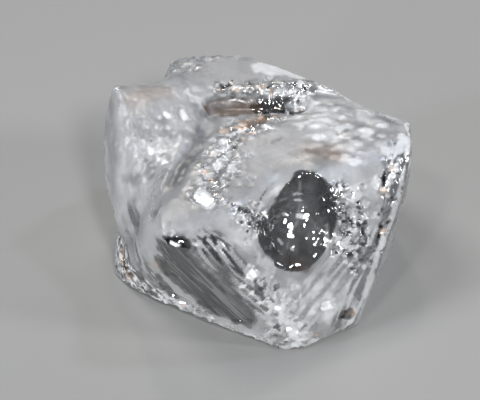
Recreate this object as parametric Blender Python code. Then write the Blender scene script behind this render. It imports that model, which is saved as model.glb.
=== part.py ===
"""A rough octahedral diamond crystal, resting on one of its octahedral faces.

The crystal is one solid. Its eight main faces are octahedral planes at unequal
distances from a common centre, as on most natural stones, and its edges are
rounded or cut off by narrow facets. Growth layers lie on the faces as thin
plates whose rims run parallel to the neighbouring faces, so that the crystal is
stepped. A second, rounded individual has grown onto its left shoulder and is
one body with it. A shell-shaped chip opens a smooth round window in the broad
front shoulder. Low hillocks and three-sided growth pits lie on the faces.

Metres, +Z up. The origin is the middle of the bounding box's underside, on the
surface that the stone rests on. Lengths in the tables are in millimetres and
angles in degrees: a bearing turns from +X towards +Y, a lean rises from level.
"""

import math
import random

import bmesh
import bpy
from mathutils import Matrix, Vector
from mathutils.bvhtree import BVHTree

MM = 0.001
SEED = 5
RAW_CUBE = 40 * MM
NAME = "diamond_crystal"

# An octahedral face leans this far from upright when another one lies flat
LEAN = math.degrees(math.asin(1 / 3))

# Each main face: its bearing, its lean, and its distance from the crystal's
# centre before the layers grow on it
FACES = {
    "bed": (0, -90, 1.87),
    "crown": (0, 90, 1.90),
    "front": (299.2, LEAN, 2.64),
    "left": (179.2, LEAN, 2.98),
    "back_right": (59.2, LEAN, 3.18),
    "front_left": (239.2, -LEAN, 3.11),
    "right": (359.2, -LEAN, 2.90),
    "back_left": (119.2, -LEAN, 2.94),
}

# Rounded edges between pairs of faces: the radius and the facets across it
ROUNDED_EDGES = (
    ("crown", "front", 1.90, 4),
    ("crown", "back_right", 0.50, 2),
    ("crown", "left", 0.30, 2),
    ("crown", "right", 0.25, 2),
    ("crown", "back_left", 0.30, 2),
    ("crown", "front_left", 0.20, 2),
    ("front", "front_left", 1.10, 1),
    ("front", "right", 0.30, 2),
    ("left", "front_left", 0.80, 2),
    ("left", "back_left", 0.30, 2),
    ("back_right", "right", 0.40, 2),
    ("back_right", "back_left", 2.90, 1),
    ("bed", "front_left", 0.20, 1),
    ("bed", "right", 0.60, 2),
    ("bed", "back_left", 0.30, 1),
    ("bed", "front", 0.22, 2),
    ("bed", "left", 0.26, 2),
    ("bed", "back_right", 0.26, 2),
)

# Growth layers: the face that they lie on, how many, how far each one rises,
# and how far its rim stands back from all neighbours and from some of them
LAYERS = (
    {"on": "crown", "count": 2, "rise": 0.035, "back": 0.10, "more": {"front": 0.45, "left": 0.15}},
    {"on": "front", "count": 4, "rise": 0.035, "back": 0.05, "more": {"right": 0.13, "crown": 0.55}},
    {"on": "left", "count": 2, "rise": 0.025, "back": 0.12, "more": {"front_left": 0.20}},
    {"on": "back_right", "count": 4, "rise": 0.045, "back": 0.14, "more": {"crown": 0.22}},
    {"on": "front_left", "count": 5, "rise": 0.035, "back": 0.04, "more": {"front": 0.22, "left": 0.06}},
    {"on": "right", "count": 5, "rise": 0.050, "back": 0.04, "more": {"bed": 0.20, "crown": 0.13}},
    {"on": "back_left", "count": 4, "rise": 0.050, "back": 0.16, "more": {"bed": 0.12}},
)
RISE_SPREAD = 0.30
BACK_SPREAD = 0.65
LAYER_WAVER = 0.7

# The high layer along the back of the crown: the plane of its steep front, how
# far it rises, and how far its other sides stand back
LEDGE = {"bearing": 276, "lean": 38, "distance": -0.15, "rise": 0.30, "back": 0.03}

# The second individual: its centre, its rounding, its faces as bearing, lean
# and distance from that centre, and how steep an edge is still rounded
LOBE_CENTRE = (-2.65, 1.11, 0.75)
LOBE_ROUNDING = 0.80
LOBE_STRIPS = 4
LOBE_FACES = (
    (19, 68, 1.87),
    (284, 60, 1.74),
    (256, 36, 1.98),
    (213, 21, 1.46),
    (183, 1, 1.335),
    (262, 10, 2.30),
    (187, -34, 1.62),
    (330, -15, 1.28),
    (3, -1, 1.34),
    (345, 40, 1.76),
    (114, 23, 1.50),
    (91, 54, 1.74),
    (93, -6, 1.30),
    (150, 15, 1.64),
    (199, -68, 1.60),
    (0, -90, 1.40),
)
LOBE_STEEPEST = 87

# The shell-shaped chip: its middle, the way it faces, the radii of the hollow
# across, along and into the crystal, and its depth
CHIP_CENTRE = (1.02, -1.66, 1.08)
CHIP_FACING = (276, 46)
CHIP_RADII = (1.55, 2.75, 2.40)
CHIP_DEPTH = 0.17
CHIP_FINENESS = 5

# Low hillocks on the right of the crown: the middle and half size of the field
# that they lie in, and their half lengths, half widths, height, root and turn
HILLOCKS = 34
HILLOCK_MIDDLE = (2.15, 0.30)
HILLOCK_FIELD = (1.15, 1.30)
HILLOCK_LENGTH = (0.16, 0.34)
HILLOCK_WIDTH = (0.07, 0.12)
HILLOCK_HEIGHT = 0.035
HILLOCK_ROOT = 0.021
HILLOCK_TURN = 14

# Three-sided growth pits: how many are tried on each face, how far they spread
# from its middle, their sizes, and their depth as a share of the size
PITS = {
    "crown": 4,
    "front": 6,
    "left": 6,
    "back_right": 18,
    "right": 18,
    "back_left": 18,
    "front_left": 5,
}
PIT_SPREAD = 1.9
PIT_SIZE = (0.05, 0.17)
PIT_DEPTH = 0.35

# Faces that differ by less than this become one, and a hit on a face counts
# where the face is square to the line within the second angle
FLAT_ENOUGH = 0.15
SQUARE_HIT = 14
SHARP_EDGE = 25

# Clear diamond with a slight satin skin
BODY_COLOUR = (0.93, 0.94, 0.95, 1)
ROUGHNESS = 0.12
REFRACTION = 2.417


def direction(bearing, lean):
    """The unit vector at a bearing and a lean, both in degrees."""
    bearing = math.radians(bearing)
    lean = math.radians(lean)
    flat = math.cos(lean)
    return Vector((flat * math.cos(bearing), flat * math.sin(bearing), math.sin(lean)))


NORMALS = {name: direction(bearing, lean) for name, (bearing, lean, _) in FACES.items()}
CORE = {name: distance for name, (_, _, distance) in FACES.items()}


def cut_by_plane(bm, normal, distance):
    """Takes off what lies beyond the plane and closes the cut with one face."""
    cut = bmesh.ops.bisect_plane(
        bm,
        geom=bm.verts[:] + bm.edges[:] + bm.faces[:],
        plane_co=normal * distance,
        plane_no=normal,
        clear_outer=True,
    )
    rim = [item for item in cut["geom_cut"] if isinstance(item, bmesh.types.BMEdge)]
    if rim:
        bmesh.ops.edgeloop_fill(bm, edges=rim)


def round_edge(bm, first, second, radius, strips):
    """Rounds the edge between two planes, each given as (normal, distance)."""
    normal_a, distance_a = first
    normal_b, distance_b = second
    between = normal_a.dot(normal_b)
    inner_a = distance_a - radius
    inner_b = distance_b - radius
    share_b = (inner_b - between * inner_a) / (1 - between * between)
    share_a = inner_a - share_b * between
    middle = normal_a * share_a + normal_b * share_b
    for strip in range(strips):
        normal = normal_a.slerp(normal_b, (strip + 0.5) / strips)
        cut_by_plane(bm, normal, middle.dot(normal) + radius)


def object_from(bm, name):
    """Makes an object of the finished shape."""
    bmesh.ops.recalc_face_normals(bm, faces=bm.faces[:])
    mesh = bpy.data.meshes.new(name)
    bm.to_mesh(mesh)
    bm.free()
    made = bpy.data.objects.new(name, mesh)
    bpy.context.scene.collection.objects.link(made)
    return made


def octahedral_shape(distances, tilts):
    """A shape bounded by the eight octahedral planes, with rounded edges."""
    bm = bmesh.new()
    bmesh.ops.create_cube(bm, size=RAW_CUBE)
    planes = {}
    for face, distance in distances.items():
        planes[face] = (tilts[face] @ NORMALS[face], distance * MM)
        cut_by_plane(bm, *planes[face])
    for face_a, face_b, radius, strips in ROUNDED_EDGES:
        round_edge(bm, planes[face_a], planes[face_b], radius * MM, strips)
    return bm


def small_turn(dice):
    """A slight tilt, as the growth faces of a natural crystal have."""
    axis = Vector((dice.uniform(-1, 1), dice.uniform(-1, 1), dice.uniform(-1, 1)))
    most = math.radians(LAYER_WAVER)
    return Matrix.Rotation(dice.uniform(-most, most), 3, axis.normalized())


def make_core():
    """The crystal under its growth layers."""
    level = {face: Matrix.Identity(3) for face in FACES}
    return object_from(octahedral_shape(CORE, level), "core")


def make_layers(dice):
    """The growth layers, each a whole block that shows where it stands out."""
    blocks = []
    for stack in LAYERS:
        distances = dict(CORE)
        for number in range(stack["count"]):
            distances[stack["on"]] += stack["rise"] * (1 + dice.uniform(-RISE_SPREAD, RISE_SPREAD))
            for other in FACES:
                if other == stack["on"]:
                    continue
                back = stack["more"].get(other, stack["back"])
                distances[other] -= back * (1 + dice.uniform(-BACK_SPREAD, BACK_SPREAD))
            tilts = {face: small_turn(dice) for face in FACES}
            blocks.append(object_from(octahedral_shape(distances, tilts), f"{stack['on']}_{number}"))
    return blocks


def make_ledge():
    """The high layer along the back of the crown."""
    level = {face: Matrix.Identity(3) for face in FACES}
    distances = {face: distance - LEDGE["back"] for face, distance in CORE.items()}
    distances["crown"] = CORE["crown"] + LEDGE["rise"]
    bm = octahedral_shape(distances, level)
    cut_by_plane(bm, direction(LEDGE["bearing"], LEDGE["lean"]), LEDGE["distance"] * MM)
    return object_from(bm, "ledge")


def make_lobe():
    """The rounded individual on the left shoulder."""
    bm = bmesh.new()
    bmesh.ops.create_cube(bm, size=RAW_CUBE)
    planes = []
    for bearing, lean, distance in LOBE_FACES:
        planes.append((direction(bearing, lean), distance * MM))
        cut_by_plane(bm, *planes[-1])
    for number, first in enumerate(planes):
        for second in planes[number + 1:]:
            if first[0].angle(second[0]) < math.radians(LOBE_STEEPEST):
                round_edge(bm, first, second, LOBE_ROUNDING * MM, LOBE_STRIPS)
    bmesh.ops.translate(bm, verts=bm.verts, vec=Vector(LOBE_CENTRE) * MM)
    return object_from(bm, "lobe")


def surface_tree(body):
    """A search tree of the body's faces."""
    corners = [vertex.co for vertex in body.data.vertices]
    return BVHTree.FromPolygons(corners, [list(face.vertices) for face in body.data.polygons])


def surface_point(trees, start, facing):
    """Where a line against the facing direction first meets a body, or None."""
    hits = []
    for tree in trees:
        point, normal, _, _ = tree.ray_cast(start + facing * RAW_CUBE / 4, -facing)
        if point is not None:
            hits.append((point.dot(facing), normal.angle(facing), point))
    if not hits:
        return None
    _, tilt, point = max(hits, key=lambda hit: hit[0])
    return point if tilt < math.radians(SQUARE_HIT) else None


def make_hillocks(bodies, dice):
    """Low, long mounds that lie side by side on the crown."""
    trees = [surface_tree(body) for body in bodies]
    up = NORMALS["crown"]
    most = math.radians(HILLOCK_TURN)
    mounds = []
    for number in range(HILLOCKS):
        across = HILLOCK_MIDDLE[0] + HILLOCK_FIELD[0] * dice.uniform(-1, 1)
        along = HILLOCK_MIDDLE[1] + HILLOCK_FIELD[1] * dice.uniform(-1, 1)
        length = dice.uniform(*HILLOCK_LENGTH)
        width = dice.uniform(*HILLOCK_WIDTH)
        turn = Matrix.Rotation(dice.uniform(-most, most), 3, "Z")
        point = surface_point(trees, Vector((across, along, 0)) * MM, up)
        if point is None:
            continue
        bm = bmesh.new()
        bmesh.ops.create_icosphere(bm, subdivisions=2, radius=1)
        size = Vector((length, width, HILLOCK_HEIGHT + HILLOCK_ROOT)) * MM
        bmesh.ops.scale(bm, verts=bm.verts, vec=size)
        bmesh.ops.rotate(bm, verts=bm.verts, matrix=turn)
        bmesh.ops.translate(bm, verts=bm.verts, vec=point - up * HILLOCK_ROOT * MM)
        mounds.append(object_from(bm, f"hillock_{number}"))
    return mounds


def make_chip():
    """The body that scoops the round window out of the front shoulder."""
    facing = direction(*CHIP_FACING)
    bm = bmesh.new()
    bmesh.ops.create_icosphere(bm, subdivisions=CHIP_FINENESS, radius=1)
    bmesh.ops.scale(bm, verts=bm.verts, vec=Vector(CHIP_RADII) * MM)
    bmesh.ops.rotate(bm, verts=bm.verts, matrix=facing.to_track_quat("Z", "Y").to_matrix())
    middle = Vector(CHIP_CENTRE) + facing * (CHIP_RADII[2] - CHIP_DEPTH)
    bmesh.ops.translate(bm, verts=bm.verts, vec=middle * MM)
    return object_from(bm, "chip")


def make_pits(crystal, dice):
    """Three-sided cutters, turned against the triangle of the face they lie on."""
    trees = [surface_tree(crystal)]
    cutters = []
    for face, count in PITS.items():
        facing = NORMALS[face]
        stand = facing.to_track_quat("Z", "Y").to_matrix()
        half_turn = stand @ Matrix.Rotation(math.pi, 3, "Z")
        for number in range(count):
            spot = Vector((dice.uniform(-1, 1), dice.uniform(-1, 1), 0)) * PIT_SPREAD * MM
            size = dice.uniform(*PIT_SIZE) * MM
            point = surface_point(trees, stand @ spot, facing)
            if point is None:
                continue
            bm = bmesh.new()
            bmesh.ops.create_cone(
                bm,
                cap_ends=True,
                segments=3,
                radius1=0,
                radius2=2 * size,
                depth=2 * size * PIT_DEPTH,
            )
            bmesh.ops.rotate(bm, verts=bm.verts, matrix=half_turn)
            bmesh.ops.translate(bm, verts=bm.verts, vec=point)
            cutters.append(object_from(bm, f"pit_{face}_{number}"))
    return cutters


def combine(body, others, operation):
    """Joins the others to the body, or cuts them from it, in one step."""
    group = bpy.data.collections.new("operands")
    bpy.context.scene.collection.children.link(group)
    for other in others:
        group.objects.link(other)
    step = body.modifiers.new("combine", "BOOLEAN")
    step.operation = operation
    step.solver = "EXACT"
    step.operand_type = "COLLECTION"
    step.collection = group
    bpy.context.view_layer.update()
    graph = bpy.context.evaluated_depsgraph_get()
    mesh = bpy.data.meshes.new_from_object(body.evaluated_get(graph))
    for other in others:
        bpy.data.objects.remove(other)
    bpy.data.collections.remove(group)
    body.modifiers.clear()
    body.data = mesh
    make_triangles(mesh)


def make_triangles(mesh):
    """Splits the faces into triangles, so that the next cut meets true planes."""
    bm = bmesh.new()
    bm.from_mesh(mesh)
    bmesh.ops.triangulate(bm, faces=bm.faces)
    bm.to_mesh(mesh)
    bm.free()


def merge_flat_faces(mesh):
    """Makes one face of those that lie in one plane."""
    bm = bmesh.new()
    bm.from_mesh(mesh)
    angle = math.radians(FLAT_ENOUGH)
    bmesh.ops.dissolve_limit(bm, angle_limit=angle, verts=bm.verts, edges=bm.edges)
    bm.to_mesh(mesh)
    bm.free()


def stand_on_origin(mesh):
    """Moves the mesh so that its box stands centred on the origin."""
    corners = [vertex.co for vertex in mesh.vertices]
    low = Vector([min(corner[axis] for corner in corners) for axis in range(3)])
    high = Vector([max(corner[axis] for corner in corners) for axis in range(3)])
    foot = Vector(((low.x + high.x) / 2, (low.y + high.y) / 2, low.z))
    mesh.transform(Matrix.Translation(-foot))


def diamond_material():
    """Colourless diamond: clear, strongly refracting, with a slight satin skin."""
    material = bpy.data.materials.new("diamond")
    material.use_nodes = True
    shader = material.node_tree.nodes["Principled BSDF"]
    shader.inputs["Base Color"].default_value = BODY_COLOUR
    shader.inputs["Metallic"].default_value = 0
    shader.inputs["Roughness"].default_value = ROUGHNESS
    shader.inputs["IOR"].default_value = REFRACTION
    shader.inputs["Transmission Weight"].default_value = 1
    return material


def main():
    for old in list(bpy.data.objects):
        bpy.data.objects.remove(old)
    dice = random.Random(SEED)
    crystal = make_core()
    grown = [*make_layers(dice), make_ledge(), make_lobe()]
    grown.extend(make_hillocks([crystal, *grown], dice))
    combine(crystal, grown, "UNION")
    combine(crystal, [make_chip(), *make_pits(crystal, dice)], "DIFFERENCE")
    merge_flat_faces(crystal.data)
    stand_on_origin(crystal.data)
    crystal.data.materials.append(diamond_material())
    crystal.data.shade_smooth()
    crystal.data.set_sharp_from_angle(angle=math.radians(SHARP_EDGE))
    crystal.name = NAME


main()
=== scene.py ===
import math

import bmesh
import bpy
import numpy as np
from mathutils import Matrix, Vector, noise


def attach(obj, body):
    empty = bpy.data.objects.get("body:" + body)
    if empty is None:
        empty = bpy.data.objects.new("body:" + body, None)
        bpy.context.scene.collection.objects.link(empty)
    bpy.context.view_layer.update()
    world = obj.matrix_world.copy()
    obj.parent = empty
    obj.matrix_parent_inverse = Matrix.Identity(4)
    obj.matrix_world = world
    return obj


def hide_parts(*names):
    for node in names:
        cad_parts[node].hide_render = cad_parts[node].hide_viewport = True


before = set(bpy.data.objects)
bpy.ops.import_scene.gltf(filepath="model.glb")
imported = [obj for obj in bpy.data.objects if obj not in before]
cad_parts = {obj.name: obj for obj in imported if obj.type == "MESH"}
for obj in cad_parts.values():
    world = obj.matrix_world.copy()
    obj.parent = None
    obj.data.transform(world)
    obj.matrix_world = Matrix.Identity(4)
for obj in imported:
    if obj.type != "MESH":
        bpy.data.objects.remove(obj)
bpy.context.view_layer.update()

mm = 0.001  # the CAD is in metres; sizes below are in millimetres
scene = bpy.context.scene


def direction(bearing, lean):
    # unit vector: bearing turns from +X to +Y, lean rises from level
    b, l = math.radians(bearing), math.radians(lean)
    return Vector((math.cos(l) * math.cos(b), math.cos(l) * math.sin(b), math.sin(l)))


def fromHex(colour):
    # sRGB hex to the linear colour that the shaders take
    parts = [int(colour[i:i + 2], 16) / 255 for i in (1, 3, 5)]
    return tuple(p / 12.92 if p <= 0.04045 else ((p + 0.055) / 1.055) ** 2.4 for p in parts) + (1,)


def addNode(tree, kind, inputs=None, **settings):
    # one node with its settings; an input is a value or another node's socket
    node = tree.nodes.new(kind)
    for name, value in settings.items():
        setattr(node, name, value)
    for key, value in (inputs or {}).items():
        if isinstance(value, bpy.types.NodeSocket):
            tree.links.new(value, node.inputs[key])
        else:
            node.inputs[key].default_value = value
    return node


def smoothStep(low, high, x):
    t = np.clip((x - low) / (high - low), 0, 1)
    return t * t * (3 - 2 * t)


def noiseField(points, size, seed, stretch=(1, 1, 1)):
    # smooth noise, about -1 to 1, with features of that size in mm
    places = points / np.array(stretch) / size + np.array((17.3, 5.1, 9.7)) * seed
    return np.array([noise.noise(Vector(p)) for p in places])


def cells(points, size, seed, stretch=(1, 1, 1)):
    # each point's place in the patchwork, its cell's middle, and how far off that is
    places = points / np.array(stretch) / size + np.array((3.1, 7.7, 1.3)) * seed
    found = [noise.voronoi(Vector(p)) for p in places]
    return places, np.array([f[1][0] for f in found]), np.array([f[0][0] for f in found])


def chance(middles, seed):
    # a fixed number from 0 to 1 for each cell
    return np.abs(np.modf(np.sin(middles @ np.array((12.9898, 78.233, 37.719)) + seed) * 43758.5453)[0])


def facetField(points, size, seed, stretch=(1, 1, 1)):
    # a patchwork of small planes, each leaning its own way
    places, middles, _ = cells(points, size, seed, stretch)
    leans = np.stack([chance(middles, s) * 2 - 1 for s in (1, 2, 3)], axis=1)
    return np.sum((places - middles) * leans, axis=1) * size


def moundField(points, size, seed, stretch=(1, 1, 1), share=1):
    # close-set round mounds of unequal height, up to 1 on top, in that share of the cells
    _, middles, away = cells(points, size, seed, stretch)
    tall = chance(middles, 4)
    return np.clip(1 - 2.2 * away ** 2, 0, 1) * np.where(tall < share, 0.3 + 0.7 * chance(middles, 5), 0)


crystal = {
    # relief
    "voxel": 0.046,            # fineness of the skin
    "waviness": 0.010,         # slow swell of the growth faces
    "lobeRounds": 220,         # how often the rounded individual is smoothed
    "lobeLumps": 0.045,        # soft lumps on it
    "lobeGroove": 0.08,        # depth of the furrow between it and the crown
    "ledgeTrough": 0.20,       # depth of the hollow at the foot of the high layer
    "grooveDepth": 0.014,      # striations on the overhanging front-left face
    "rimGrooves": 0.034,       # plates stacked along the right-hand rim
    "streakDepth": 0.018,      # grooves under the drawn-out streaks
    "beadHeight": 0.020,       # glassy beads in the sparkling bands
    "facetSlope": 0.27,        # lean of the small facets between them
    "plainFacets": 0.05,       # share of those facets on the rest of the skin
    "edgeChips": 0.16,         # the same along worn edges
    "windowFacets": 0.07,      # the same in the window
    "shoulderRounds": 90,      # how often the front shoulder is smoothed
    "coverRounds": 110,        # the same for the hazed part of the window's border
    "edgeBend": (0.0012, 0.0045),  # how far a point stands out where wear starts, and where it is full
    "domes": 0.05,             # height of the blobs of painted highlight, as a share of their half size
    "moundHeight": 0.020,      # scalloped mounds on the right of the crown
    "bedGap": 0.004,           # how far the flat bed stands clear of the floor
    # finish
    "haze": 0.36,              # how milky the plain skin is
    "lobeHaze": 0.10,          # how much more the rounded individual is
    "moundHaze": (0.22, 0.50),     # how milky it is between the mounds, and how much more on top of them
    "mosaic": 0.13,            # size of a cell in the glittering places
    "fineMosaic": 0.075,       # and of the finer cells among them
    "whiteShare": 0.20,        # share of those cells painted white as glints
    # the round window is a scoop by this ellipsoid, as in the CAD
    "window": {
        "centre": (1.02, -1.66, 1.08), "facing": (276, 46), "radii": (1.55, 2.75, 2.40), "depth": 0.17,
    },
    "lobe": {"centre": (-2.47, 1.05, 2.62), "radius": 2.1},
    # bands: ends, half width
    "shoulder": ((-1.4, -2.5, 3.3), (2.9, -0.6, 3.3), 1.1),      # rounded, between the crown and the front
    "rim": ((3.8, 0.1, 3.6), (1.9, -3.0, 0.4), 0.7),             # the right-hand rim
    "trough": ((-1.0, 1.45, 3.85), (1.1, 1.50, 3.85), 0.34),     # at the foot of the high layer
    # glittering places: ends, half width, strength, share of cells painted dark as dark glints
    "sparkle": [
        ((0.35, 1.10, 3.86), (-0.60, 0.30, 3.85), 0.34, 0.8, 0.06),
        ((-0.60, 0.30, 3.85), (-1.15, -1.70, 3.77), 0.48, 0.8, 0.05),
        ((-0.30, -2.10, 3.50), (0.25, -2.15, 3.20), 0.36, 0.9, 0.22),
        ((1.90, -1.20, 3.20), (2.50, -1.90, 2.00), 0.46, 1.0, 0.24),
        ((-2.90, -1.50, 0.22), (0.90, -3.15, 0.15), 0.24, 1.0, 0.15),
        ((-2.35, -1.95, 0.75), (-1.40, -2.55, 0.45), 0.36, 1.0, 0.18),
        ((0.75, -3.15, 0.60), (1.20, -3.10, 0.20), 0.36, 1.0, 0.10),
        ((-0.20, -3.10, 2.40), (0.90, -3.20, 0.80), 0.42, 0.75, 0.08),
        ((0.90, -3.05, 1.30), (2.00, -2.40, 1.20), 0.60, 0.45, 0.06),
        ((1.30, 2.00, 3.95), (-0.90, 1.95, 3.98), 0.20, 0.8, 0.12),
        ((-2.40, 2.90, 3.80), (-1.60, 3.10, 3.85), 0.62, 0.6, 0.05),
        ((-3.47, -0.20, 0.80), (-2.90, -1.50, 0.55), 0.55, 1.0, 0.22),
        ((3.38, -0.20, 3.30), (2.80, -1.80, 1.60), 0.34, 0.6, 0.20),
        ((-2.60, 0.40, 4.10), (-2.50, -0.90, 3.50), 0.80, 0.26, 0.05),
    ],
    # painted dark: where the clear stone shows dark reflections and shade; from here to the stars a mark has
    # ends, half width, strength
    "paintedDark": [
        ((-1.95, -2.95, 3.05), (-0.45, -3.07, 1.05), 0.62, 1.0),
        ((-2.15, -2.70, 2.30), (-1.00, -2.85, 1.05), 0.50, 1.0),
        ((-2.12, -3.00, 3.45), (-1.75, -3.05, 3.40), 0.26, 1.0),
        ((-2.40, -2.35, 1.60), (-2.05, -2.20, 0.85), 0.20, 0.9),
        ((3.13, -0.50, 3.40), (3.00, -1.55, 2.00), 0.11, 1.0),
        ((0.15, 1.60, 3.80), (1.05, 1.60, 3.80), 0.30, 0.9),
        ((1.72, -1.15, 3.35), (2.02, -1.60, 2.60), 0.10, 0.8),
        ((2.30, -1.45, 2.85), (2.36, -1.60, 2.65), 0.09, 0.9),
        ((2.62, -1.50, 2.55), (2.66, -1.62, 2.35), 0.08, 0.9),
        ((0.62, 0.30, 3.85), (0.30, 0.05, 3.85), 0.07, 0.25),
        ((-2.58, 0.10, 3.98), (-2.50, -0.05, 3.92), 0.06, 0.9),
        ((2.16, -2.64, 0.66), (2.34, -2.50, 0.50), 0.15, 0.9),
        ((-1.05, -2.97, 3.05), (-0.60, -3.15, 2.20), 0.24, 0.35),
    ],
    # painted shade: grey patches, without an edge
    "shade": [
        ((-3.70, 0.95, 3.60), (-3.65, -0.30, 2.30), 0.42, 0.60),
        ((-2.95, -0.80, 2.10), (-2.75, -1.60, 2.50), 0.45, 0.45),
        ((-1.60, -0.20, 3.88), (-2.10, -1.30, 3.78), 0.30, 0.30),
        ((2.60, -0.60, 3.60), (2.95, -1.30, 2.60), 0.30, 0.20),
        ((-3.45, 0.00, 0.90), (-3.03, -1.33, 1.76), 0.50, 0.70),
        ((-2.05, -2.10, 3.76), (-1.80, -2.65, 3.70), 0.50, 0.30),
        ((-3.62, 1.20, 4.10), (-3.55, 0.30, 3.20), 0.35, 0.60),
        ((-0.70, -0.80, 3.80), (0.10, -1.60, 3.75), 0.60, 0.32),
        ((-2.95, -1.50, 1.20), (-2.45, -2.10, 1.10), 0.35, 0.55),
    ],
    # brown patches; the first is painted shade in the hollow at the foot of the high layer
    "brown": [
        ((-1.15, 1.50, 3.80), (-0.05, 1.58, 3.80), 0.30, 1.0),
        ((1.40, -0.12, 3.77), (1.95, -0.25, 3.76), 0.20, 0.55),
        ((0.85, -2.50, 2.30), (1.20, -2.55, 2.20), 0.24, 0.7),
    ],
    # painted amber glints, for the stone's fire
    "amber": [
        ((-0.35, 0.75, 3.85), (0.45, 1.15, 3.86), 0.22, 0.9),
        ((-1.13, -1.22, 3.78), (-1.08, -1.18, 3.78), 0.14, 0.9),
        ((-2.45, -2.30, 2.10), (-2.30, -2.35, 1.95), 0.16, 0.8),
        ((-3.35, -0.80, 0.80), (-3.19, -1.25, 0.60), 0.24, 0.8),
        ((-0.55, 1.95, 4.00), (0.25, 2.00, 4.00), 0.10, 0.6),
        ((2.30, -2.52, 0.55), (2.38, -2.48, 0.52), 0.10, 0.9),
    ],
    # a warm tint, without an edge
    "peach": [
        ((-3.00, 1.05, 4.45), (-2.30, 1.35, 4.45), 0.45, 0.28),
        ((1.30, -0.10, 3.78), (1.95, -0.20, 3.76), 0.40, 0.3),
    ],
    # milky patches
    "milkAndHighlight": [
        ((-0.35, -0.20, 3.85), (-0.15, -1.60, 3.72), 0.70, 0.42),
        ((1.05, 0.35, 3.85), (0.55, 0.05, 3.85), 0.60, 0.42),
        ((2.15, -0.60, 3.65), (2.75, -1.50, 2.60), 0.60, 0.48),
        ((0.70, -3.10, 1.40), (1.90, -2.60, 1.10), 0.85, 0.75),
        ((-1.40, 2.60, 4.05), (0.00, 2.50, 4.05), 0.60, 0.34),
        ((0.35, -2.75, 2.75), (0.10, -3.10, 1.90), 0.32, 0.70),
        ((-0.70, -2.30, 3.60), (-0.20, -2.65, 3.10), 0.30, 0.45),
        ((-2.05, -2.10, 3.76), (-1.80, -2.65, 3.70), 0.42, 0.50),
        ((-3.49, 0.00, 0.90), (-3.10, -1.30, 0.60), 0.45, 0.60),
        ((3.52, 0.35, 3.72), (3.72, 0.40, 3.50), 0.35, 0.85),
    ],
    # painted highlights: white spots and lines
    "paintedHighlight": [
        ((-1.30, -1.60, 3.78), (-1.15, -1.95, 3.76), 0.19, 1.0),
        ((-1.78, 0.84, 4.25), (-1.74, 0.66, 4.20), 0.10, 1.0),
        ((-2.20, 0.70, 4.27), (-2.17, 0.64, 4.25), 0.08, 1.0),
        ((-2.60, -0.08, 3.85), (-2.57, -0.20, 3.82), 0.08, 1.0),
        ((-2.78, 0.08, 3.93), (-2.76, 0.02, 3.91), 0.06, 0.9),
        ((-0.85, -0.15, 3.85), (-0.80, 0.00, 3.85), 0.12, 0.8),
        ((-0.62, -0.60, 3.82), (-0.55, -0.80, 3.82), 0.11, 0.9),
        ((-0.26, -2.98, 2.53), (-0.14, -3.05, 2.40), 0.16, 0.9),
        ((-2.04, -3.02, 3.45), (-1.84, -3.05, 3.43), 0.06, 1.0),
        ((1.74, -2.64, 1.24), (1.78, -2.80, 0.80), 0.18, 1.0),
        ((0.46, -3.16, 1.52), (0.58, -3.17, 1.36), 0.10, 1.0),
        ((1.04, -3.16, 0.86), (1.08, -3.18, 0.80), 0.10, 1.0),
        ((3.12, -1.42, 2.05), (2.98, -1.70, 1.62), 0.12, 1.0),
        ((2.86, -1.92, 1.20), (2.74, -2.12, 0.85), 0.16, 0.9),
        ((2.62, -2.28, 0.66), (2.52, -2.42, 0.52), 0.10, 0.9),
        ((0.70, -3.18, 0.98), (0.92, -3.20, 0.84), 0.15, 0.9),
        ((0.72, 1.95, 3.98), (0.80, 1.30, 3.84), 0.06, 1.0),
        ((1.00, 1.95, 3.98), (1.00, 1.50, 3.84), 0.06, 1.0),
        ((1.85, -0.28, 3.75), (2.55, -0.38, 3.72), 0.10, 0.9),
        ((0.10, 2.75, 4.10), (1.10, 2.55, 4.10), 0.32, 0.9),
        ((-1.25, 1.55, 4.10), (-1.15, 1.40, 4.05), 0.08, 0.8),
        ((2.00, -1.85, 2.45), (2.20, -1.90, 2.30), 0.13, 1.0),
        ((-2.25, -2.02, 0.65), (-1.55, -2.42, 0.45), 0.15, 0.8),
        ((-2.85, -1.50, 0.12), (0.60, -3.20, 0.12), 0.08, 0.8),
        ((3.20, 0.00, 3.72), (3.50, 0.10, 3.65), 0.16, 0.8),
        ((3.62, 0.50, 3.74), (3.72, 0.35, 3.55), 0.13, 0.9),
        ((0.80, -3.20, 0.70), (1.00, -3.18, 0.40), 0.14, 1.0),
        ((0.90, -3.20, 0.16), (1.50, -3.08, 0.16), 0.10, 0.9),
    ],
    # where haze covers the window's border
    "cover": [
        ((0.10, -1.90, 3.38), (0.42, -1.25, 3.58), 0.25, 1.0),
        ((0.42, -1.25, 3.58), (0.78, -0.80, 3.72), 0.20, 1.0),
        ((0.05, -2.45, 2.95), (0.35, -2.75, 2.50), 0.14, 0.8),
        ((0.90, -2.75, 2.05), (1.60, -2.45, 2.05), 0.16, 0.7),
        ((1.75, -1.60, 2.70), (1.78, -2.00, 2.40), 0.14, 0.8),
    ],
    # painted light: pale clouds inside it, without an edge
    "cloud": [
        ((0.90, -1.30, 3.05), (1.25, -1.65, 2.75), 0.60, 0.24),
        ((0.62, -1.60, 2.95), (0.75, -2.10, 2.55), 0.42, 0.20),
        ((1.30, -1.10, 3.20), (1.15, -0.85, 3.50), 0.35, 0.16),
        ((1.00, -2.50, 2.20), (1.30, -2.45, 2.15), 0.30, 0.16),
    ],
    # painted highlights: bright lines and star glints in it
    "star": [
        ((0.92, -1.12, 3.28), (1.18, -1.12, 3.28), 0.05, 0.7),
        ((0.95, -1.20, 3.16), (1.20, -1.22, 3.15), 0.05, 0.8),
        ((1.06, -0.95, 3.50), (1.06, -1.40, 2.90), 0.05, 0.35),
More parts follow.
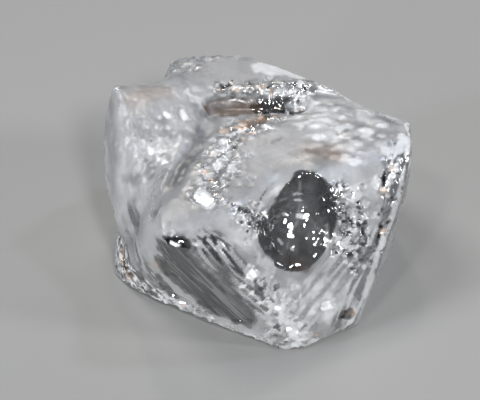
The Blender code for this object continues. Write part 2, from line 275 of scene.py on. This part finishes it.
        ((1.00, -1.55, 2.78), (0.75, -2.20, 2.50), 0.05, 0.45),
        ((1.05, -1.50, 2.80), (0.98, -2.20, 2.38), 0.05, 0.30),
        ((0.45, -1.80, 3.00), (0.90, -1.60, 2.85), 0.05, 0.35),
        ((1.25, -1.45, 2.85), (1.55, -1.75, 2.62), 0.05, 0.30),
        ((1.02, -1.44, 2.86), (1.14, -1.46, 2.84), 0.09, 1.0),
        ((0.62, -1.52, 3.00), (0.70, -1.52, 2.98), 0.07, 0.8),
        ((0.52, -2.10, 2.68), (0.62, -2.15, 2.62), 0.07, 0.7),
        ((0.86, -2.15, 2.45), (0.90, -2.18, 2.43), 0.06, 0.8),
    ],
    # the furrow between the rounded individual and the crown, which also gets painted shade, and its half
    # width
    "furrowWidth": 0.27,
    "furrow": [
        (-1.05, 1.15, 3.95), (-1.32, 0.40, 3.93), (-1.66, -0.45, 3.86), (-2.06, -1.40, 3.77),
        (-2.45, -1.95, 3.50),
    ],
    # drawn-out streaks: ends, half width, size of one, how dark they are painted and how white they get
    "streaks": [
        ((-1.15, -2.90, 3.20), (0.05, -3.20, 1.60), 0.48, 0.075, 0.86, 0.40),
        ((-1.95, -2.92, 2.95), (-0.55, -3.05, 1.10), 0.62, 0.08, 0.20, 0.22),
        ((0.60, -3.20, 0.60), (2.30, -2.00, 2.00), 0.75, 0.12, 0.22, 0.60),
        ((3.55, 0.10, 3.50), (2.19, -2.65, 0.47), 0.50, 0.11, 0.48, 0.95),
        ((-3.49, 0.21, 1.60), (-2.76, -1.60, 0.50), 0.60, 0.12, 0.80, 0.90),
        ((-2.95, -0.90, 2.30), (-2.60, -2.00, 1.50), 0.40, 0.12, 0.60, 0.40),
    ],
    # painted glints: white blobs along a line: ends, spread, how many, half size, length to width, share
    # painted amber
    "blobs": [
        ((0.45, 1.05, 3.86), (-0.60, 0.30, 3.85), 0.28, 16, 0.09, 1.0, 0.5),
        ((-0.60, 0.30, 3.85), (-1.20, -1.50, 3.78), 0.36, 26, 0.11, 1.0, 0.2),
        ((-0.20, -2.10, 3.50), (0.20, -2.15, 3.20), 0.30, 12, 0.05, 1.0, 0.0),
        ((2.00, -1.30, 3.10), (2.50, -1.90, 2.10), 0.40, 18, 0.08, 1.0, 0.0),
        ((-2.40, -1.95, 0.50), (0.60, -3.15, 0.20), 0.14, 40, 0.06, 1.5, 0.05),
        ((3.50, 0.00, 3.60), (2.30, -2.60, 0.50), 0.30, 40, 0.07, 1.0, 0.05),
        ((-3.47, -0.20, 0.80), (-2.90, -1.50, 0.55), 0.40, 26, 0.07, 1.0, 0.15),
        ((1.40, 1.90, 3.95), (-1.00, 1.95, 4.02), 0.16, 16, 0.06, 1.2, 0.3),
        ((0.40, -3.05, 1.80), (1.00, -3.15, 0.80), 0.40, 16, 0.09, 1.0, 0.0),
        ((-2.50, 0.60, 4.25), (-2.40, -0.60, 3.80), 0.55, 12, 0.06, 1.0, 0.0),
        ((1.10, 1.45, 3.87), (2.90, 0.40, 3.82), 0.45, 60, 0.10, 1.9, 0.0),
        ((1.30, 0.75, 3.84), (2.40, 0.15, 3.80), 0.45, 40, 0.10, 1.9, 0.0),
        ((1.70, -0.25, 3.76), (2.60, -0.40, 3.72), 0.12, 12, 0.08, 2.2, 0.0),
        ((-2.30, 2.95, 3.85), (-1.60, 3.05, 3.90), 0.40, 26, 0.05, 1.0, 0.0),
        ((0.90, -3.15, 0.30), (1.60, -3.05, 0.30), 0.25, 18, 0.10, 1.0, 0.1),
        ((-0.10, -2.60, 3.00), (0.40, -3.00, 2.20), 0.20, 6, 0.05, 1.0, 0.0),
    ],
    # small flat faces that flash: place, half size, bearing, lean, depth
    "flashes": [
        ((-1.25, -1.75, 3.77), 0.30, 258, 52, 0.05),
        ((-0.83, 0.00, 3.85), 0.22, 226, 75, 0.03),
        ((-0.60, -0.55, 3.82), 0.20, 274, 46, 0.03),
        ((-1.10, -1.20, 3.78), 0.16, 92, 85, 0.02),
        ((-2.00, -3.00, 3.55), 0.22, 236, 40, 0.05),
        ((-1.74, 0.76, 4.22), 0.20, 274, 46, 0.05),
        ((-2.18, 0.67, 4.27), 0.13, 274, 46, 0.03),
        ((-0.19, -2.98, 2.48), 0.20, 274, 44, 0.07),
        ((1.76, -2.72, 1.02), 0.22, 313, 47, 0.07),
        ((2.08, -1.93, 2.38), 0.18, 313, 47, 0.07),
        ((0.51, -3.16, 1.45), 0.15, 274, 46, 0.06),
        ((0.85, -3.18, 0.72), 0.18, 274, 46, 0.08),
        ((1.10, -3.15, 0.35), 0.16, 274, 46, 0.08),
        ((-1.85, -2.35, 0.55), 0.20, 245, 30, 0.08),
    ],
    # crowds of smaller ones: middle, spread, how many, half size, bearing, lean
    "glints": [
        ((0.05, -2.15, 3.35), 0.38, 16, 0.11, 274, 46),
        ((2.35, -1.60, 2.60), 0.48, 22, 0.11, 290, 47),
        ((-0.85, -0.70, 3.82), 0.75, 18, 0.12, 262, 70),
        ((-0.30, 0.75, 3.85), 0.55, 12, 0.10, 256, 80),
        ((-2.20, 0.60, 4.10), 0.90, 4, 0.08, 258, 56),
        ((3.10, -1.20, 2.40), 0.90, 18, 0.11, 313, 40),
        ((1.20, -2.95, 1.10), 0.80, 16, 0.12, 300, 42),
        ((-1.90, -2.35, 0.60), 0.60, 18, 0.10, 250, 26),
        ((-0.60, -2.90, 0.30), 0.80, 14, 0.09, 252, 26),
        ((-3.25, -0.90, 0.70), 0.60, 24, 0.12, 231, 40),
        ((0.40, 2.00, 3.98), 1.00, 12, 0.09, 256, 72),
    ],
}

foot = Vector((-0.1787, -0.0887, -1.87))  # from the crystal's own centre to its foot
faceLean = math.degrees(math.asin(1 / 3))  # an octahedron's side faces, when it lies on a face
growthFaces = {
    "crown": direction(0, 90),
    "front": direction(299.2, faceLean),
    "backRight": direction(59.2, faceLean),
    "frontLeft": direction(239.2, -faceLean),
    "right": direction(359.2, -faceLean),
    "backLeft": direction(119.2, -faceLean),
}


def copyOfNode(name):
    # the node's loose triangles, joined again, in millimetres
    bm = bmesh.new()
    bm.from_mesh(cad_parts[name].data)
    bmesh.ops.remove_doubles(bm, verts=bm.verts, dist=1e-7)
    bmesh.ops.scale(bm, vec=(1 / mm, 1 / mm, 1 / mm), verts=bm.verts)
    mesh = bpy.data.meshes.new("crystalCopy")
    bm.to_mesh(mesh)
    bm.free()
    piece = bpy.data.objects.new("crystal", mesh)
    scene.collection.objects.link(piece)
    return piece


def applyModifiers(piece):
    graph = bpy.context.evaluated_depsgraph_get()
    mesh = bpy.data.meshes.new_from_object(piece.evaluated_get(graph))
    piece.modifiers.clear()
    piece.data = mesh
    return mesh


def readVectors(source, name, count):
    flat = np.zeros(count * 3)
    source.foreach_get(name, flat)
    return flat.reshape(-1, 3)


def neighbourMean(mesh):
    # makes the function that gives each point's mean over its neighbours
    count = len(mesh.vertices)
    ends = np.zeros(len(mesh.edges) * 2, np.int64)
    mesh.edges.foreach_get("vertices", ends)
    first, second = ends.reshape(-1, 2).T
    near = np.bincount(ends, minlength=count)

    def around(values):
        columns = values.reshape(count, -1).T
        total = [
            np.bincount(first, column[second], count) + np.bincount(second, column[first], count)
            for column in columns
        ]
        return (np.stack(total, axis=1) / near[:, None]).reshape(values.shape)

    return around


def soften(points, around, where, rounds):
    # each round takes a point most of the way to the middle of its neighbours
    for _ in range(rounds):
        points += (around(points) - points) * where[:, None] * 0.8


def bandMask(points, start, end, width, core=0.3):
    # 1 along the line from start to end, fading over the half width
    a, b = np.array(start), np.array(end)
    along = b - a
    t = np.clip((points - a) @ along / (along @ along), 0, 1)
    gap = np.linalg.norm(points - a - t[:, None] * along, axis=1)
    return 1 - smoothStep(core * width, 1.25 * width, gap)


def onSkin(points, place):
    # the point of the skin nearest to a place
    return points[np.argmin(np.sum((points - np.array(place)) ** 2, axis=1))]


def markMask(points, marks, ragged, grain, snap=False):
    # all the marks of a kind, with edges that wander and break up
    total = np.zeros(len(points))
    for start, end, width, strength in marks:
        if snap:
            start, end = onSkin(points, start), onSkin(points, end)
        soft = bandMask(points + ragged, start, end, width)
        total = np.maximum(total, strength * smoothStep(0.15, 0.85, soft + 0.3 * grain * (soft > 0.02)))
    return total


def hazeMask(points, marks):
    # all the marks of a kind, without an edge
    soft = [strength * bandMask(points, start, end, width, 0) for start, end, width, strength in marks]
    return np.max(soft, axis=0)


def pathMask(points, path, width):
    # 1 along a line of several parts
    return np.max([bandMask(points, a, b, width) for a, b in zip(path, path[1:])], axis=0)


def faceMask(normals, name, near=14, far=24):
    # 1 where the skin faces as that growth face does
    angle = np.degrees(np.arccos(np.clip(normals @ np.array(growthFaces[name]), -1, 1)))
    return 1 - smoothStep(near, far, angle)


def windowMask(points):
    # 1 on the surface of the scoop, less where haze covers its border
    window = crystal["window"]
    facing = direction(*window["facing"])
    turn = np.array(facing.to_track_quat("Z", "Y").to_matrix())
    middle = Vector(window["centre"]) + facing * (window["radii"][2] - window["depth"]) - foot
    inner = np.linalg.norm(((points - np.array(middle)) @ turn) / np.array(window["radii"]), axis=1)
    rough = noiseField(points, 0.12, 23)
    covered = markMask(points, crystal["cover"], 0.06 * rough[:, None], rough)
    return (1 - smoothStep(0.012, 0.03, np.abs(inner - 1))) * (1 - covered)


def lobeMask(points):
    # 1 on the rounded individual, above its foot
    lobe = crystal["lobe"]
    away = np.linalg.norm(points - np.array(lobe["centre"]), axis=1) - lobe["radius"]
    return (1 - smoothStep(-0.25, 0.1, away)) * smoothStep(1.2, 1.9, points[:, 2])


def glitter(points, ragged, plain, behind):
    # how much the skin glitters, and the share of cells painted dark there, with islands of it on the faces
    # behind
    sparkle, darkShare = np.zeros((2, len(points)))
    for start, end, width, strength, dark in crystal["sparkle"]:
        soft = strength * bandMask(points + ragged, start, end, 1.4 * width, 0) * plain
        sparkle = np.maximum(sparkle, soft)
        darkShare = np.maximum(darkShare, dark * soft)
    island = behind * smoothStep(0.05, 0.40, noiseField(points, 0.80, 26))
    return np.maximum(sparkle, 0.7 * island), np.maximum(darkShare, 0.12 * island)


def mosaic(points, sparkle, darkShare):
    # in glittering places each cell is a painted highlight, a painted dark glint, or more or less milky by
    # chance
    middles = cells(points, crystal["mosaic"], 8)[1]
    tone, depth = chance(middles, 9), chance(middles, 12)
    fine = chance(cells(points, crystal["fineMosaic"], 10)[1], 11)
    limit = 1 - crystal["whiteShare"] * sparkle
    paintedHighlight = smoothStep(limit, limit + 0.05, tone)
    paintedHighlight = np.maximum(paintedHighlight, 0.9 * smoothStep(limit + 0.08, limit + 0.13, fine))
    dark = smoothStep(darkShare, darkShare - 0.05, tone)
    dark = np.maximum(dark, smoothStep(darkShare, darkShare - 0.05, fine))
    return paintedHighlight, 0.9 * dark * (darkShare > 0.01), 1.3 * depth - 0.9


def scatterBlobs(points, ragged, plain, dice):
    # how much painted highlight and painted amber glint the blobs put on the skin, and the size of their low
    # domes
    paintedHighlight, amber, domes = np.zeros((3, len(points)))
    for start, end, spread, number, size, longer, warm in crystal["blobs"]:
        a, b = np.array(start), np.array(end)
        for _ in range(number):
            at = onSkin(points, a + dice.uniform() * (b - a) + dice.uniform(-spread, spread, 3))
            half = size * dice.uniform(0.5, 1.5)
            away = np.linalg.norm((points + 0.35 * ragged - at) / (longer, 1, 1), axis=1)
            blob = (1 - smoothStep(0.3 * half, 1.3 * half, away)) * plain
            paintedHighlight = np.maximum(paintedHighlight, blob * dice.uniform(0.55, 1))
            amber = np.maximum(amber, 0.7 * blob * (dice.uniform() < warm))
            domes = np.maximum(domes, half * blob)
    return paintedHighlight, amber, domes


def streakField(points, way, size, seed):
    # noise drawn out that way, about 17 times as long as wide
    way = np.array(way) / np.linalg.norm(np.array(way))
    return noiseField(points - 0.94 * (points @ way)[:, None] * way, size, seed)


def striations(points, a, b, seed):
    # fine ridges along the edge between two growth faces, ten times as long as wide
    line = growthFaces[a].cross(growthFaces[b]).normalized()
    across = growthFaces[b].cross(line).normalized()
    u, v = points @ np.array(across), points @ np.array(line) * 0.10
    strip = np.stack([u, v, np.zeros(len(points))], axis=1)
    return noiseField(strip, 0.17, seed) + 0.4 * noiseField(strip, 0.07, seed + 2)


def cutFacet(points, at, size, bearing, lean, depth):
    # a small flat face: what stands beyond its plane near that place is taken back to it
    way = np.array(direction(bearing, lean))
    at = np.array(at) - way * depth
    near = np.linalg.norm(points - at, axis=1) < size
    beyond = np.clip((points - at) @ way, 0, None) * near
    return points - beyond[:, None] * way


def cutFlashes(points, dice):
    # the large flat faces first, then the crowds
    for at, size, bearing, lean, depth in crystal["flashes"]:
        points = cutFacet(points, onSkin(points, at), size, bearing, lean, depth)
    for middle, spread, number, size, bearing, lean in crystal["glints"]:
        for _ in range(number):
            at = onSkin(points, np.array(middle) + dice.uniform(-spread, spread, 3))
            half = size * dice.uniform(0.6, 1.4)
            turn = dice.uniform(-7, 7, 2)
            points = cutFacet(points, at, half, bearing + turn[0], lean + turn[1], 0.3 * half)
    return points


def makeCrystal():
    piece = copyOfNode("diamond_crystal")
    remesh = piece.modifiers.new("remesh", "REMESH")
    remesh.mode = "VOXEL"
    remesh.voxel_size = crystal["voxel"]
    remesh.use_smooth_shade = True
    mesh = applyModifiers(piece)
    count = len(mesh.vertices)
    points = readVectors(mesh.vertices, "co", count)
    around = neighbourMean(mesh)
    print("crystal skin:", count, "points")

    # soften the window's hazed border, the rounded individual, and the front shoulder
    inWindow = windowMask(points)
    plain = 1 - inWindow
    hazed = [bandMask(points, start, end, 2.2 * width) for start, end, width, _ in crystal["cover"]]
    border = np.max(hazed, axis=0)
    soften(points, around, border, crystal["coverRounds"])
    inLobe = lobeMask(points)
    soften(points, around, inLobe, crystal["lobeRounds"])
    shoulder = bandMask(points, *crystal["shoulder"]) * plain * (1 - inLobe)
    soften(points, around, shoulder, crystal["shoulderRounds"])
    mesh.vertices.foreach_set("co", points.ravel())
    mesh.update()
    normals = readVectors(mesh.vertex_normals, "vector", count)

    # worn edges: where the skin bends outwards
    edge = np.sum((points - around(points)) * normals, axis=1)
    for _ in range(3):
        edge = around(edge)
    edge = smoothStep(*crystal["edgeBend"], edge)

    # places on the skin
    rim = bandMask(points, *crystal["rim"])
    rightRim = np.maximum(faceMask(normals, "right", 20, 40), rim) * plain
    frontLeft = faceMask(normals, "frontLeft", 24, 44)
    crownRight = faceMask(normals, "crown") * smoothStep(0.9, 1.5, points[:, 0]) * (1 - inLobe) * plain
    back = np.maximum(faceMask(normals, "backRight", 26, 40), faceMask(normals, "backLeft", 26, 40))
    back = back * (1 - inLobe) * plain
    right = faceMask(normals, "right", 26, 40) * smoothStep(-2.0, -0.4, points[:, 1]) * plain
    wander = noiseField(points, 0.18, 11)
    ragged = np.stack([wander, noiseField(points, 0.18, 12), noiseField(points, 0.18, 13)], axis=1) * 0.09
    inFurrow = pathMask(points + 0.5 * ragged, crystal["furrow"], crystal["furrowWidth"])
    inTrough = bandMask(points + 0.5 * ragged, *crystal["trough"])

    # marks: where the skin is painted dark, glitters, is tinted, is painted grey with shade, or carries
    # painted highlights
    # painted dark reflections and shade from the marks
    paintedDark = markMask(points, crystal["paintedDark"], ragged, wander)
    sparkle, darkShare = glitter(points, ragged, plain, np.maximum(back, right))
    brown = markMask(points, crystal["brown"], ragged, wander)
    # painted amber glints, thinned by noise, and the warm tint
    amber = markMask(points, crystal["amber"], ragged, wander)
    amber = amber * smoothStep(-0.2, 0.25, noiseField(points, 0.11, 16))
    amber = np.maximum(amber, hazeMask(points, crystal["peach"]))
    # a grey tone at random on the rounded individual, and painted shade from the shade marks
    greyAndShade = 0.55 * inLobe * smoothStep(-0.10, 0.50, noiseField(points, 0.38, 28))
    greyAndShade = np.maximum(greyAndShade, hazeMask(points, crystal["shade"]))
    # painted highlights from the marks, the blobs and the mosaic
    paintedHighlight = markMask(points, crystal["paintedHighlight"], 0.4 * ragged, wander, snap=True) * plain
    cloud = hazeMask(points, crystal["cloud"]) * (1 + 0.8 * wander)
    # painted highlights and painted glow inside the window
    star = np.maximum(markMask(points, crystal["star"], 0, 0), cloud) * inWindow
    dice = np.random.default_rng(5)
    blobHighlight, blobAmber, domes = scatterBlobs(points, ragged, plain, dice)
    cellHighlight, cellDarkGlint, cellHaze = mosaic(points + 0.5 * ragged, sparkle, darkShare)
    amber = np.maximum(amber, blobAmber)
    paintedHighlight = np.maximum(np.maximum(paintedHighlight, blobHighlight), cellHighlight)
    paintedDark = np.maximum(paintedDark, cellDarkGlint)
    print("crystal marks done")

    # relief
    height = crystal["waviness"] * noiseField(points, 0.9, 1) * plain
    height += crystal["lobeLumps"] * noiseField(points, 0.42, 2) * inLobe
    height += 0.5 * crystal["lobeLumps"] * noiseField(points, 0.14, 14) * inLobe
    height -= crystal["lobeGroove"] * inFurrow + crystal["ledgeTrough"] * inTrough
    facets = facetField(points, 0.20, 3) + 0.6 * facetField(points, 0.11, 6)
    beads = moundField(points, 0.32, 4, share=0.6) + 0.25 * moundField(points, 0.15, 15, share=0.6)
    mounds = moundField(points, 0.23, 5, (1.9, 1, 1))
    height += crystal["beadHeight"] * beads * sparkle
    faceted = sparkle + crystal["plainFacets"] * plain * (1 - 0.7 * crownRight)
    height += crystal["facetSlope"] * facets * faceted
    height += crystal["edgeChips"] * facets * edge * plain + crystal["windowFacets"] * facets * inWindow
    height += crystal["moundHeight"] * mounds * crownRight + crystal["domes"] * domes
    height += crystal["grooveDepth"] * striations(points, "front", "frontLeft", 7) * frontLeft
    height += crystal["rimGrooves"] * striations(points, "front", "right", 21) * rightRim

    # haze: more on the rounded individual and on the mounds, less where it is painted dark
    mottle = noiseField(points, 0.45, 17) + 0.3 * noiseField(points, 0.14, 18)
    patches = markMask(points, crystal["milkAndHighlight"], 2 * ragged, wander)
    milkAndHighlight = np.maximum(crystal["haze"] + crystal["lobeHaze"] * inLobe, patches)
    low, more = crystal["moundHaze"]
    milkAndHighlight = milkAndHighlight * (1 - crownRight) + (low + more * mounds) * crownRight
    milkAndHighlight *= 1 + 0.30 * mottle * (1 - 0.3 * inLobe)
    milkAndHighlight = np.maximum(milkAndHighlight, 0.85 * edge * smoothStep(-0.3, 0.2, wander))
    milkAndHighlight *= 1 + sparkle * cellHaze

    # streaks, painted dark and pale by turns, and along the growth lines of the faces behind
    for number, (start, end, width, size, dark, pale) in enumerate(crystal["streaks"]):
        where = bandMask(points + ragged, start, end, width, 0.5) * plain
        streak = streakField(points, np.array(end) - np.array(start), size, 30 + number)
        paintedDark = paintedDark * (1 - 0.35 * smoothStep(0.15, 0.40, streak) * where)
        paintedDark = np.maximum(paintedDark, dark * smoothStep(-0.12, 0.18, -streak) * where)
        milkAndHighlight = np.maximum(milkAndHighlight, pale * smoothStep(0.02, 0.25, streak) * where)
        height += crystal["streakDepth"] * streak * where
    patch = smoothStep(-0.15, 0.30, noiseField(points, 1.1, 27))
    for a, b, where, seed in (("backRight", "backLeft", back, 41), ("right", "backRight", right, 42)):
        streak = streakField(points, growthFaces[a].cross(growthFaces[b]), 0.13, seed)
        paintedDark = np.maximum(paintedDark, 0.8 * where * patch * smoothStep(0.05, 0.40, -streak))
        milkAndHighlight = np.maximum(milkAndHighlight, 0.6 * where * smoothStep(0.05, 0.35, streak))
        height += crystal["streakDepth"] * streak * where * patch

    # what covers what: painted highlights over the painted dark and the painted shade, painted shade in the
    # furrow, and the painted stars over the window's painted dark
    greyAndShade = np.maximum(greyAndShade, 0.9 * inFurrow * smoothStep(-0.40, 0.20, mottle)) * (1 - paintedHighlight)
    paintedDark *= 1 - paintedHighlight
    milkAndHighlight = np.clip(np.maximum(np.maximum(milkAndHighlight, 0.65 * greyAndShade) * (1 - paintedDark), paintedHighlight), 0, 1) * plain
    milkAndHighlight = np.maximum(milkAndHighlight, star)
    # the window painted dark, standing in for the dark reflections in the clear scoop
    paintedDark = np.maximum(paintedDark, inWindow * (0.84 + 0.16 * noiseField(points, 0.35, 20))) * (1 - star)
    frost = 0.85 + 0.40 * noiseField(points, 0.45, 19) + 0.40 * inLobe + 0.6 * patches - 0.9 * sparkle

    # the relief, the flat faces, the flat bed, and the finish as attributes for the material
    points = cutFlashes(points + normals * height[:, None], dice)
    points[:, 2] = np.maximum(points[:, 2], crystal["bedGap"])
    mesh.vertices.foreach_set("co", (points * mm).ravel())
    looks = {
        "paintedDark": paintedDark,
        "polish": np.maximum(inWindow, 0.9 * paintedDark),
        "frost": np.clip(frost * (1 - 0.6 * edge), 0, 1),
        "greyAndShade": greyAndShade,
        "brown": brown,
        "amber": amber,
        "milkAndHighlight": milkAndHighlight,
    }
    for name, values in looks.items():
        layer = mesh.attributes.new(name, "FLOAT", "POINT")
        layer.data.foreach_set("value", values.astype(np.float32))
    mesh.update()
    print("crystal relief and finish done")
    return piece


diamond = {
    "ior": 2.417,
    "clear": "#F6F8FA",     # the plain stone
    "greyAndShadeTint": "#6E7074",      # painted shade, and a grey tone on the rounded individual
    "paintedDarkTint": "#1C1F23",     # painted dark reflections: the window and the dark streaks
    "brown": "#7A6252",     # brown patches, partly painted shade
    "amber": "#FFD2AC",     # painted warm glints, and the warm tint
    "polished": 0.02,       # roughness of the window and the dark streaks
    "satin": 0.05,          # roughness of the skin, from here
    "frosted": 0.42,        # to here
    "flecks": 9,            # flecks of haze to a millimetre
    "fleckHaze": (0.88, 1.1),   # how much they thin and thicken it
    "grains": 14,           # grains of the skin to a millimetre
    "grainDepth": 0.02,     # in millimetres
    "tooth": (0.25, 0.02),  # how much of that shows on plain skin, and where it is polished
}


def diamondMaterial():
    # rough diamond, natural skin: it bends light hard, so it glints; hazed white in places, with painted
    # highlights, painted shade, and painted dark reflections where it is clear
    material = bpy.data.materials.new("roughDiamond")
    material.use_nodes = True
    tree = material.node_tree
    shader = tree.nodes["Principled BSDF"]
    shader.inputs["IOR"].default_value = diamond["ior"]
    skin = {}
    for name in ("paintedDark", "polish", "frost", "greyAndShade", "brown", "amber", "milkAndHighlight"):
        skin[name] = addNode(tree, "ShaderNodeAttribute", attribute_name=name).outputs["Fac"]
    place = addNode(tree, "ShaderNodeTexCoord").outputs["Object"]
    toMm = {"Vector": place, "Scale": (1 / mm, 1 / mm, 1 / mm)}
    inMm = addNode(tree, "ShaderNodeMapping", toMm).outputs["Vector"]

    # colour: clear; grey for the painted shade and a grey tone; near-black for the painted dark reflections;
    # amber for the painted glints and the warm tint; brown for the brown patches
    colour = fromHex(diamond["clear"])
    for mask, tint in (("greyAndShade", "greyAndShadeTint"), ("paintedDark", "paintedDarkTint"), ("amber", "amber"), ("brown", "brown")):
        mix = {"Factor": skin[mask], 6: colour, 7: fromHex(diamond[tint])}
        colour = addNode(tree, "ShaderNodeMix", mix, data_type="RGBA").outputs[2]
    tree.links.new(colour, shader.inputs["Base Color"])

    # gloss: satin to frosted skin, polished windows
    frost = {"Value": skin["frost"], "To Min": diamond["satin"], "To Max": diamond["frosted"]}
    frosted = addNode(tree, "ShaderNodeMapRange", frost).outputs["Result"]
    polish = {"Factor": skin["polish"], "A": frosted, "B": diamond["polished"]}
    tree.links.new(addNode(tree, "ShaderNodeMix", polish).outputs["Result"], shader.inputs["Roughness"])

    # haze: the milky skin scatters light, and the painted highlights are laid in as the same white; faintly
    # flecked at the finest scale
    pattern = {"Vector": inMm, "Scale": diamond["flecks"], "Detail": 3, "Roughness": 0.7}
    fleck = addNode(tree, "ShaderNodeTexNoise", pattern).outputs["Fac"]
    thin, thick = diamond["fleckHaze"]
    span = {"Value": fleck, "From Min": 0.35, "From Max": 0.65, "To Min": thin, "To Max": thick}
    flecked = addNode(tree, "ShaderNodeMapRange", span).outputs["Result"]
    both = {0: skin["milkAndHighlight"], 1: flecked}
    hazy = addNode(tree, "ShaderNodeMath", both, operation="MULTIPLY", use_clamp=True).outputs[0]
    clear = addNode(tree, "ShaderNodeMath", {0: 1, 1: hazy}, operation="SUBTRACT").outputs[0]
    tree.links.new(clear, shader.inputs["Transmission Weight"])

    # grain: a faint tooth on the skin, almost none where it is polished
    pattern = {"Vector": inMm, "Scale": diamond["grains"], "Detail": 3, "Roughness": 0.6}
    grain = addNode(tree, "ShaderNodeTexNoise", pattern).outputs["Fac"]
    onPlain, onPolished = diamond["tooth"]
    span = {"Value": skin["polish"], "To Min": onPlain, "To Max": onPolished}
    tooth = addNode(tree, "ShaderNodeMapRange", span).outputs["Result"]
    depth = diamond["grainDepth"] * mm
    bump = addNode(tree, "ShaderNodeBump", {"Height": grain, "Strength": tooth, "Distance": depth})
    tree.links.new(bump.outputs["Normal"], shader.inputs["Normal"])
    print("diamond finish done")
    return material


paper = {"halfSize": 600, "colour": "#ADADAB", "roughness": 0.8}


def makeFloor():
    bm = bmesh.new()
    bmesh.ops.create_grid(bm, x_segments=1, y_segments=1, size=paper["halfSize"] * mm)
    mesh = bpy.data.meshes.new("floor")
    bm.to_mesh(mesh)
    bm.free()
    floor = bpy.data.objects.new("floor", mesh)
    scene.collection.objects.link(floor)
    # matt pale grey paper: an even tone with no reflections
    material = bpy.data.materials.new("mattPaper")
    material.use_nodes = True
    shader = material.node_tree.nodes["Principled BSDF"]
    shader.inputs["Base Color"].default_value = fromHex(paper["colour"])
    shader.inputs["Roughness"].default_value = paper["roughness"]
    mesh.materials.append(material)
    print("floor done")


lights = {
    # bearing, lean, distance, size, brightness, colour
    "key": (150, 62, 90, 36, 7.4, "#FFFFFF"),
    "back": (60, 14, 90, 50, 3.4, "#FFFFFF"),
    "front": (285, 48, 90, 13, 53, "#FFFFFF"),
    "left": (200, 25, 90, 13, 37, "#EEF3FF"),
    "right": (345, 35, 90, 16, 29, "#FBFCFF"),
    "leftHigh": (240, 60, 90, 9, 42, "#FFFFFF"),
    "rightHigh": (20, 60, 90, 9, 39, "#E2ECFF"),
    "backHigh": (95, 57, 90, 8, 40, "#FFF3E8"),
    "low": (232, 3.6, 90, 11, 105, "#FFFFFF"),
}
studio = {"aimHeight": 2, "walls": "#101113"}


def makeLights():
    aim = Vector((0, 0, studio["aimHeight"] * mm))
    for name, (bearing, lean, distance, size, bright, colour) in lights.items():
        data = bpy.data.lights.new(name, "AREA")
        data.shape = "DISK"
        data.size = size * mm
        data.color = fromHex(colour)[:3]
        data.energy = bright * math.pi * math.pi * (size * mm / 2) ** 2  # as bright at any size
        lamp = bpy.data.objects.new(name, data)
        away = direction(bearing, lean)
        lamp.location = away * distance * mm + aim
        lamp.rotation_euler = away.to_track_quat("Z", "Y").to_euler()
        scene.collection.objects.link(lamp)
    # a dark room, so that only the lamps and the floor show in the stone
    world = bpy.data.worlds.new("studio")
    world.use_nodes = True
    world.node_tree.nodes["Background"].inputs["Color"].default_value = fromHex(studio["walls"])
    scene.world = world
    print("lights done")


view = {
    "lookDown": 43.15,      # degrees
    "frameWidth": 480,      # pixels
    "pixel": 0.025,         # millimetres to a pixel at the stone
    "middle": (22.8, 2.2),  # how many pixels the stone's centre is right of the frame's middle, and below it
    "lens": 200,
    "sensor": 36,
}


def makeCamera():
    tilt = math.radians(view["lookDown"])
    back = Vector((0, -math.cos(tilt), math.sin(tilt)))
    up = Vector((0, math.sin(tilt), math.cos(tilt)))
    pixel = view["pixel"] * mm
    target = -foot * mm - Vector((1, 0, 0)) * view["middle"][0] * pixel + up * view["middle"][1] * pixel
    data = bpy.data.cameras.new("camera")
    data.lens = view["lens"]
    data.sensor_width = view["sensor"]
    data.clip_start = 0.001
    camera = bpy.data.objects.new("camera", data)
    camera.location = target + back * (view["frameWidth"] * pixel * view["lens"] / view["sensor"])
    camera.rotation_euler = back.to_track_quat("Z", "Y").to_euler()
    scene.collection.objects.link(camera)
    scene.camera = camera
    print("camera done")


stone = makeCrystal()
stone.data.materials.clear()
stone.data.materials.append(diamondMaterial())
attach(stone, "root")
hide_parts("diamond_crystal")
makeFloor()
makeLights()
makeCamera()
scene.view_settings.view_transform = "Standard"
scene.cycles.max_bounces = 24
scene.cycles.glossy_bounces = 12
scene.cycles.transmission_bounces = 16
